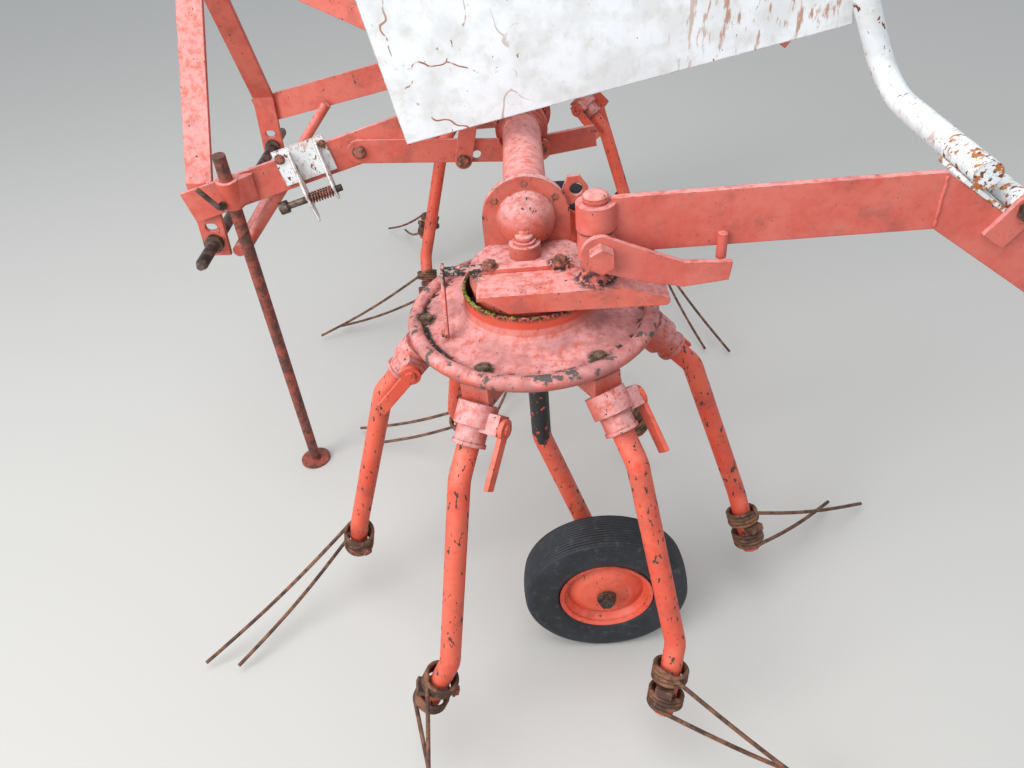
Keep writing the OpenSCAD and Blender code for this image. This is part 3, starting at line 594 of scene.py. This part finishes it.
def new_tree(name, sockets):
    """A geometry tree with named inputs, its group input and its group output."""
    tree = bpy.data.node_groups.new(name, "GeometryNodeTree")
    tree.interface.new_socket("Geometry", in_out="INPUT", socket_type="NodeSocketGeometry")
    for label, kind in sockets:
        tree.interface.new_socket(label, in_out="INPUT", socket_type="NodeSocket" + kind)
    tree.interface.new_socket("Geometry", in_out="OUTPUT", socket_type="NodeSocketGeometry")
    return tree, add(tree, "NodeGroupInput"), add(tree, "NodeGroupOutput")


def finish_tree(tree, geometry, finish, output):
    """Ends a tree in real geometry that has its finish."""
    real = add(tree, "GeometryNodeRealizeInstances", {"Geometry": geometry})
    painted = add(tree, "GeometryNodeSetMaterial", {"Geometry": real.outputs[0], "Material": finish})
    tree.links.new(painted.outputs["Geometry"], output.inputs["Geometry"])


def named(tree, label, kind="FLOAT_VECTOR"):
    """The socket of an attribute that is stored on the points of the seed mesh."""
    made = add(tree, "GeometryNodeInputNamedAttribute", {"Name": label}, data_type=kind)
    return made.outputs["Attribute"]


def point_mesh(name, spots, **stored):
    """A mesh of loose points that has an attribute of each given name: vectors, or else numbers."""
    mesh = bpy.data.meshes.new(name)
    mesh.from_pydata([tuple(spot) for spot in spots], [], [])
    # All are made before any is filled: a new attribute moves the ones before it
    for label, values in stored.items():
        kind = "FLOAT" if isinstance(values[0], float) else "FLOAT_VECTOR"
        mesh.attributes.new(label, kind, "POINT")
    for label, values in stored.items():
        field = "value" if isinstance(values[0], float) else "vector"
        for item, value in zip(mesh.attributes[label].data, values):
            setattr(item, field, value)
    return mesh


def path_mesh(name, paths):
    """A mesh of edges along one or more paths."""
    points, edges = [], []
    for path in paths:
        first = len(points)
        points += [tuple(p) for p in path]
        edges += [(first + i, first + i + 1) for i in range(len(path) - 1)]
    mesh = bpy.data.meshes.new(name)
    mesh.from_pydata(points, edges, [])
    return mesh


# Wire or rod of a round section along each path of a seed mesh
wire_tree, wire_in, wire_out = new_tree(
    "round_wire", [("Radius", "Float"), ("Sides", "Int"), ("Finish", "Material")]
)
wire_curve = add(wire_tree, "GeometryNodeMeshToCurve", {"Mesh": wire_in.outputs["Geometry"]})
wire_section = add(
    wire_tree,
    "GeometryNodeCurvePrimitiveCircle",
    {"Radius": wire_in.outputs["Radius"], "Resolution": wire_in.outputs["Sides"]},
)
wire_skin = add(
    wire_tree,
    "GeometryNodeCurveToMesh",
    {
        "Curve": wire_curve.outputs["Curve"],
        "Profile Curve": wire_section.outputs["Curve"],
        "Fill Caps": True,
    },
)
finish_tree(wire_tree, wire_skin.outputs["Mesh"], wire_in.outputs["Finish"], wire_out)


def wires(name, paths, radius, finish, body, sides=10):
    """Round wires of one radius in mm along paths in the row frame."""
    inputs = {"Radius": radius / 1000, "Sides": sides, "Finish": finish}
    return run_tree(name, path_mesh(name, paths), wire_tree, inputs, body)


def coil(centre, start, quarter, axis, radius, turns, length, fineness):
    """A helix along an axis, from a start direction towards a quarter one, with steps to each turn."""
    steps = int(turns * fineness)
    path = []
    for i in range(steps + 1):
        angle = 2 * math.pi * turns * i / steps
        spoke = start * math.cos(angle) + quarter * math.sin(angle)
        path.append(centre + spoke * radius + axis * length * i / steps)
    return path


# Double tines with their two coils, in mm of one arm: along its heading, across it and up

WIRE = 9
COIL_RADIUS = 32.5
COIL_PITCH = 9.2
COIL_GAP = 16  # between the wires of the two coils, for the clamp
FULL_TURNS = 3
ELBOW = Vector((451, 0, -563))  # where the arm bends into its foot
FOOT_WAY = Vector((36, -56, -142)).normalized()
FOOT_LENGTH = 157
CLAMP_FROM_END = 62
CLAMP_AT = ELBOW + FOOT_WAY * (FOOT_LENGTH - CLAMP_FROM_END)
TIP_LEVEL = 26 - DISC_HEIGHT
UPPER_FINGER = (28, 440)  # heading in degrees from the arm's, and reach in mm
LOWER_FINGER = (42, 375)
FINGER_STEPS = 13
FINGER_SAG = 14


def half_tine(half, finger, saddle):
    """Finger and coil from the tip to the saddle; half is 1 for the upper one and -1 for the lower."""
    heading, reach = math.radians(finger[0]), finger[1]
    out = Vector((math.cos(heading), math.sin(heading), 0))
    start = FOOT_WAY.cross(out).normalized()
    quarter = FOOT_WAY.cross(start)
    stop_angle = math.atan2(saddle.dot(quarter), saddle.dot(start)) % (2 * math.pi)
    turns = FULL_TURNS + stop_angle / (2 * math.pi)
    rise = COIL_PITCH * turns
    inner = COIL_GAP / 2 + WIRE / 2
    centre = CLAMP_AT - FOOT_WAY * half * (inner + rise)
    root = centre + start * COIL_RADIUS
    tip = Vector((root.x + out.x * reach, root.y + out.y * reach, TIP_LEVEL))
    path = []
    for i in range(FINGER_STEPS):
        share = i / FINGER_STEPS
        sag = Vector((0, 0, -FINGER_SAG * math.sin(math.pi * share)))
        path.append(tip.lerp(root, share) + sag)
    return path + coil(
        centre, start, quarter, FOOT_WAY * half, COIL_RADIUS, turns, length=rise, fineness=28
    )


def arm_matrix(side, index):
    """Places a point in mm of one arm in the row frame."""
    mirror = Matrix.Diagonal((1, 1 if side == "left" else -1, 1, 1))
    turn = Matrix.Rotation(math.radians(PHASES[side] + 360 / ARM_COUNT * index), 4, "Z")
    middle_of_row = Matrix.Translation((SHIFT, 0, DISC_HEIGHT))
    rotor = middle_of_row @ mirror @ Matrix.Translation((0, HALF_SPACING, 0))
    return Matrix.Scale(0.001, 4) @ rotor @ turn


# The two coils meet over a saddle on the underside of the foot
up = Vector((0, 0, 1))
saddle_way = -(up - FOOT_WAY * up.dot(FOOT_WAY)).normalized()
one_tine = half_tine(1, UPPER_FINGER, saddle_way) + half_tine(-1, LOWER_FINGER, saddle_way)[::-1]
for side in SIDES:
    paths = [[arm_matrix(side, i) @ p for p in one_tine] for i in range(ARM_COUNT)]
    tines = wires("double_tines_" + side, paths, WIRE / 2, tine_steel, "rotor_" + side)
    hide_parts("tines_" + side)

# Tyres with rounded shoulders and fine ribs round the tread

RIBS_A_SIDE = 6
RIB_PITCH = 6.6
GROOVE_DEPTH = 2.4
GROOVE_FOOT = 0.9  # half the width of a groove at its bottom and at its mouth
GROOVE_MOUTH = 1.3
CROWN_DROP = 3.5
TREAD_HALF = 40
half_section = []
for i in range(RIBS_A_SIDE):
    start, stop = i * RIB_PITCH, (i + 1) * RIB_PITCH
    rib = (
        (start + GROOVE_FOOT, GROOVE_DEPTH), (start + GROOVE_MOUTH, 0),
        (stop - GROOVE_MOUTH, 0), (stop - GROOVE_FOOT, GROOVE_DEPTH),
    )
    for width, depth in rib:
        half_section.append((WHEEL_RADIUS - CROWN_DROP * (width / TREAD_HALF) ** 2 - depth, width))
# Shoulder, side wall with its two thin rings, bead and inside of the casing, as radius and half width
half_section += [
    (183.2, 40.8), (179.5, 44.2), (173, 46.4), (166, 47.1), (164, 47.5), (161, 47.1), (148, 47.4),
    (134, 47.1), (131, 47.5), (128, 46.9), (118, 45.2), (111, 42.4), (108.6, 39.2), (107.2, 36.5),
    (100.6, 36.2), (100.6, 30), (106, 29), (125, 36), (150, 38), (170, 34), (176, 20),
]
tyre_section = half_section + [(radius, -width) for radius, width in reversed(half_section)]
for side in SIDES:
    hub = facing_place(at(-WHEEL_BACK, WHEEL_OUT, WHEEL_RADIUS - DISC_HEIGHT, side), (0, 1, 0))
    tyre = turned_piece(
        "ribbed_tyre_" + side, tyre_section, [hub], tyre_black, "wheel_" + side, steps=96
    )
    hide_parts("tyre_" + side)

# Hexagon bolt heads on washers, one on each point of the seed mesh. A head of radius and height 1
# has slightly tapered flats and a bevelled crown, and each point scales it
HEAD_TAPER = 0.94
CROWN_RADIUS = 0.78
FLATS_HEIGHT = 0.85
bolt_tree, bolt_in, bolt_out = new_tree(
    "hexagon_bolts", [("Washer Share", "Float"), ("Finish", "Material")]
)
head = add(
    bolt_tree,
    "GeometryNodeMeshCone",
    {"Vertices": 6, "Radius Top": HEAD_TAPER, "Radius Bottom": 1.0, "Depth": FLATS_HEIGHT},
)
crown = add(
    bolt_tree,
    "GeometryNodeMeshCone",
    {"Vertices": 6, "Radius Top": CROWN_RADIUS, "Radius Bottom": HEAD_TAPER, "Depth": 1 - FLATS_HEIGHT},
)
raised = add(
    bolt_tree,
    "GeometryNodeTransform",
    {"Geometry": crown.outputs["Mesh"], "Translation": (0, 0, FLATS_HEIGHT)},
)
washer = add(
    bolt_tree,
    "GeometryNodeMeshCylinder",
    {"Vertices": 20, "Depth": 0.3, "Radius": bolt_in.outputs["Washer Share"]},
)
whole = add(bolt_tree, "GeometryNodeJoinGeometry")
for part in (head.outputs["Mesh"], raised.outputs["Geometry"], washer.outputs["Mesh"]):
    bolt_tree.links.new(part, whole.inputs["Geometry"])
aim = add(bolt_tree, "FunctionNodeAlignRotationToVector", {"Vector": named(bolt_tree, "axis")}, axis="Z")
twist = add(bolt_tree, "ShaderNodeCombineXYZ", {"Z": named(bolt_tree, "turn", "FLOAT")})
twisted = add(
    bolt_tree,
    "FunctionNodeRotateRotation",
    {"Rotation": aim.outputs["Rotation"], "Rotate By": twist.outputs["Vector"]},
    rotation_space="LOCAL",
)
each = add(
    bolt_tree,
    "GeometryNodeInstanceOnPoints",
    {
        "Points": bolt_in.outputs["Geometry"],
        "Instance": whole.outputs["Geometry"],
        "Rotation": twisted.outputs["Rotation"],
        "Scale": named(bolt_tree, "size"),
    },
)
finish_tree(bolt_tree, each.outputs["Instances"], bolt_in.outputs["Finish"], bolt_out)


def bolts(name, rows, finish, body, washer_share=1.15):
    """Bolt heads at rows of (place, axis, width across corners in mm, height in mm)."""
    rng = random.Random(len(rows) * 7 + len(name))
    mesh = point_mesh(
        name,
        [row[0] for row in rows],
        axis=[Vector(way).normalized() for _, way, _, _ in rows],
        size=[(width / 2000, width / 2000, height / 1000) for _, _, width, height in rows],
        turn=[rng.uniform(0, math.pi / 3) for _ in rows],
    )
    inputs = {"Washer Share": washer_share, "Finish": finish}
    return run_tree(name, mesh, bolt_tree, inputs, body, smooth=False)


# Widths across corners and heights of the heads, in mm
DISC_BOLT = (27, 11)
TINE_BOLT = (24, 9)
FLANGE_BOLT = (17, 7)
PLATE_BOLT = (16, 7)
LINK_BOLT = (28, 11)
EAR_BOLT = (38, 16)
AXLE_NUT = (38, 18)
SADDLE_RISE = 7.5  # of the tine bolt's seat over the middle of the wire
FLANGE_CIRCLE = 70
UPWARD = (0, 0, 1)
FORWARD = (1, 0, 0)
# On a beam's outer face: forward along it, outward and up; the latch is on the left beam only
LINK_BOLTS = ((390, 10, -6), (-10, 10, -147), (170, 18.3, -106))
LATCH_BOLTS = (((462.5, 5, 40), (16, 6)), ((566, 5, 38), (21, 8)))
PLATE_BOLT_AT = (162, 90, 19)  # on the hanging plate
AXLE_REACH = 46  # from a wheel's middle to the end of its axle

frame_rows, bright_rows, nut_rows = [], [], []
for side in SIDES:
    outward = sideways((0, 1, 0), side)
    arms = [arm_matrix(side, i) for i in range(ARM_COUNT)]
    on_disc = Vector((*DISC_BOLT_AT, -1))
    disc_rows = [(arm @ on_disc, UPWARD, *DISC_BOLT) for arm in arms]
    bolts("disc_bolts_" + side, disc_rows, mossy_bolt, "rotor_" + side)
    saddle = CLAMP_AT + saddle_way * (COIL_RADIUS + SADDLE_RISE)
    tine_rows = [(arm @ saddle, arm.to_3x3() @ saddle_way, *TINE_BOLT) for arm in arms]
    bolts("tine_bolts_" + side, tine_rows, bolt_red, "rotor_" + side)
    # Flange bolts of the rotor gearboxes, at three headings about the drive line
    for heading in (-55, 0, 55):
        spoke = math.radians(heading)
        forth, up = FLANGE_CIRCLE * math.sin(spoke), FLANGE_CIRCLE * math.cos(spoke)
        frame_rows.append((at(forth, FLANGE_FACE, DRIVE_HEIGHT + up, side), outward, *FLANGE_BOLT))
    # Bolts of the side bar, the hanging plate and the links on the beams
    for forth in (71, -57):
        frame_rows.append((at(forth, BAR_OUT, BAR_TOP, side), UPWARD, *DISC_BOLT))
    frame_rows.append((at(*PLATE_BOLT_AT, side), FORWARD, *PLATE_BOLT))
    for spot in LINK_BOLTS:
        frame_rows.append((on_beam(*spot, side), beam_out(side), *LINK_BOLT))
    bright_rows.append((middle(*EAR, side), outward, *EAR_BOLT))
    axle_end = at(-WHEEL_BACK, WHEEL_OUT + AXLE_REACH, WHEEL_RADIUS - DISC_HEIGHT, side)
    nut_rows.append((axle_end, outward, *AXLE_NUT))
for spot, head_size in LATCH_BOLTS:
    frame_rows.append((on_beam(*spot), beam_out(), *head_size))
bolts("frame_bolts", frame_rows, bolt_red, "frame")
bolts("ear_bolts", bright_rows, bright_steel, "frame", washer_share=1.05)
bolts("axle_nuts", nut_rows, pin_steel, "frame")

# Filler plugs and post caps, turned with a rounded top, as radius and height
PLUG_AT = (6, -34, 134)  # on the top of a gearbox
POST_TOP = 262

plug = [
    (0, 0), (16.5, 0), (17, 1), (17, 9), (15.5, 10.5), (10, 10.5), (9, 12), (9, 17), (8, 18), (0, 18),
]
turned_piece(
    "oil_plugs",
    plug,
    [facing_place(at(*PLUG_AT, side), UPWARD) for side in SIDES],
    cast_red,
    "frame",
)
cap = [(0, 0), (21, 0), (22, 1.2), (21.5, 4), (18, 7.5), (10, 10.5), (0, 11.5)]
turned_piece(
    "post_caps",
    cap,
    [facing_place(at(-POST_BACK, POST_OUT, POST_TOP, side), UPWARD) for side in SIDES],
    frame_red,
    "frame",
)

# Spring of the latch pin, wound loosely round it
SPRING_AT = (481, 30, -62)
SPRING_WIRE = 1.8  # its radius
along_beam = (on_beam(1, 0, 0) - on_beam(0, 0, 0)) * 1000
up_beam = (on_beam(0, 0, 1) - on_beam(0, 0, 0)) * 1000
spring = coil(
    on_beam(*SPRING_AT), up_beam, beam_out(), along_beam,
    radius=0.012, turns=8, length=0.054, fineness=20,
)
wires("latch_spring", [spring], SPRING_WIRE, bolt_red, "frame", sides=8)

# Weld beads, run by hand where plates and sleeves meet

WOBBLE = 0.9
BEAD_STEP = 4
ARM_BEAD = 3.4  # radii of the beads
FRAME_BEAD = 3.2


def bead(points):
    """A hand-run bead: the line between points with a small wobble, in the row frame."""
    rng = random.Random(len(points) * 13 + int(points[0].length * 1000))
    path = []
    for a, b in zip(points, points[1:]):
        count = max(int((b - a).length * 1000 / BEAD_STEP), 1)
        for i in range(count):
            shake = Vector([rng.uniform(-WOBBLE, WOBBLE) for _ in range(3)]) / 1000
            path.append(a.lerp(b, i / count) + shake)
    path.append(points[-1])
    return path


def ring(centre, way, radius, steps=24):
    """Points in the row frame round a centre."""
    place = facing_place(centre, way)
    angles = [i * (2 * math.pi / steps) for i in range(steps + 1)]
    return [place @ (Vector((math.cos(a), math.sin(a), 0)) * radius / 1000) for a in angles]


# Upright beads on a gate arm: at its bend and along its upper and lower sleeve
ARM_BEADS = ((-686, 255, 165), (-150, 209, 251), (-148.5, 163, 200))
for side in SIDES:
    face = POST_OUT + GATE_FACE
    arm_beads = [bead([at(x, face, z, side) for z in (start, end)]) for x, start, end in ARM_BEADS]
    wires("arm_welds_" + side, arm_beads, ARM_BEAD, gate_red, "gate_" + side, sides=7)
# Beads round the foot of each post and round both ends of the cross tubes
frame_beads = []
for side in SIDES:
    frame_beads.append(bead(ring(at(-POST_BACK, POST_OUT, 111.5, side), UPWARD, 28.5)))
    frame_beads.append(bead(ring(at(0, -98.5, DRIVE_HEIGHT, side), (0, 1, 0), 45)))
    frame_beads.append(bead(ring(middle(0, 214.5, DRIVE_HEIGHT, side), (0, 1, 0), 45.5)))
wires("frame_welds", frame_beads, FRAME_BEAD, frame_red, "frame", sides=7)

# Moss in small tufts on the collars, thickest at the front
TUFT_COUNT = 60
TUFT_SEEDS = {"left": 5, "right": 8}
MOSS_HEADING = 0.5  # middle and spread about the collar, in radians
MOSS_SPREAD = 0.32
LIP_MIDDLE = COLLAR_RADIUS - 2.2
tuft_tree, tuft_in, tuft_out = new_tree("moss_tufts", [("Finish", "Material")])
blob = add(tuft_tree, "GeometryNodeMeshIcoSphere", {"Radius": 1.0, "Subdivisions": 2})
tufts = add(
    tuft_tree,
    "GeometryNodeInstanceOnPoints",
    {
        "Points": tuft_in.outputs["Geometry"],
        "Instance": blob.outputs["Mesh"],
        "Scale": named(tuft_tree, "size"),
    },
)
finish_tree(tuft_tree, tufts.outputs["Instances"], tuft_in.outputs["Finish"], tuft_out)
for side in SIDES:
    name = "collar_moss_" + side
    rng = random.Random(TUFT_SEEDS[side])
    spots, sizes = [], []
    for _ in range(TUFT_COUNT):
        heading = rng.gauss(MOSS_HEADING, MOSS_SPREAD)
        reach = LIP_MIDDLE + rng.uniform(-1.0, 0.6)
        spots.append(at(reach * math.cos(heading), reach * math.sin(heading), COLLAR_HEIGHT, side))
        wide = rng.uniform(1.6, 4.2)
        sizes.append((wide / 1000, wide / 1000, rng.uniform(1.2, 3.0) / 1000))
    seeds = point_mesh(name, spots, size=sizes)
    run_tree(name, seeds, tuft_tree, {"Finish": moss}, "rotor_" + side)

# Floor, light and camera

FLOOR_HALF = 9
corners = [(x * FLOOR_HALF, y * FLOOR_HALF, 0) for x, y in ((-1, -1), (1, -1), (1, 1), (-1, 1))]
floor_mesh = bpy.data.meshes.new("floor")
floor_mesh.from_pydata(corners, [], [(0, 1, 2, 3)])
floor_mesh.materials.append(Finish("pale_studio_floor", "B9B7B2", 0.9).done())
floor = placed("floor", floor_mesh)

world = bpy.data.worlds.new("overcast")
scene.world = world
world.use_nodes = True
sky = world.node_tree.nodes["Background"]
sky.inputs["Color"].default_value = linear("E4EAF2")
sky.inputs["Strength"].default_value = 0.92


def softbox(name, place, target, size, power):
    """A large soft lamp that faces a point."""
    lamp = bpy.data.lights.new(name, "AREA")
    lamp.shape = "DISK"
    lamp.size = size
    lamp.energy = power
    made = placed(name, lamp)
    made.location = place
    made.rotation_euler = (Vector(target) - Vector(place)).to_track_quat("-Z", "Y").to_euler()


softbox("sky_light", place=(0.8, 1.6, 4.2), target=(0, 0.4, 0.6), size=3.5, power=115)
softbox("side_light", place=(5.0, 4.6, 3.6), target=(0, 0.5, 0.8), size=4.5, power=380)

# The photo's camera, fitted to the rotors, the headstock and the drive tube
EYE = (0.0433, 2.0274, 1.6872)
FOCAL_LENGTH = 27.42  # for a sensor 36 mm wide
look_way = Vector((0.041, -0.784, -0.619)).normalized()
right_way = Vector((-0.997, 0.010, -0.078))
right_way = (right_way - look_way * right_way.dot(look_way)).normalized()
up_way = right_way.cross(look_way)
lens = bpy.data.cameras.new("camera")
lens.sensor_width = 36
lens.lens = FOCAL_LENGTH
lens.clip_start = 0.05
camera = placed("camera", lens)
turned = Matrix((right_way, up_way, -look_way)).transposed().to_4x4()
camera.matrix_world = Matrix.Translation(EYE) @ turned
scene.camera = camera
scene.view_settings.view_transform = "Standard"
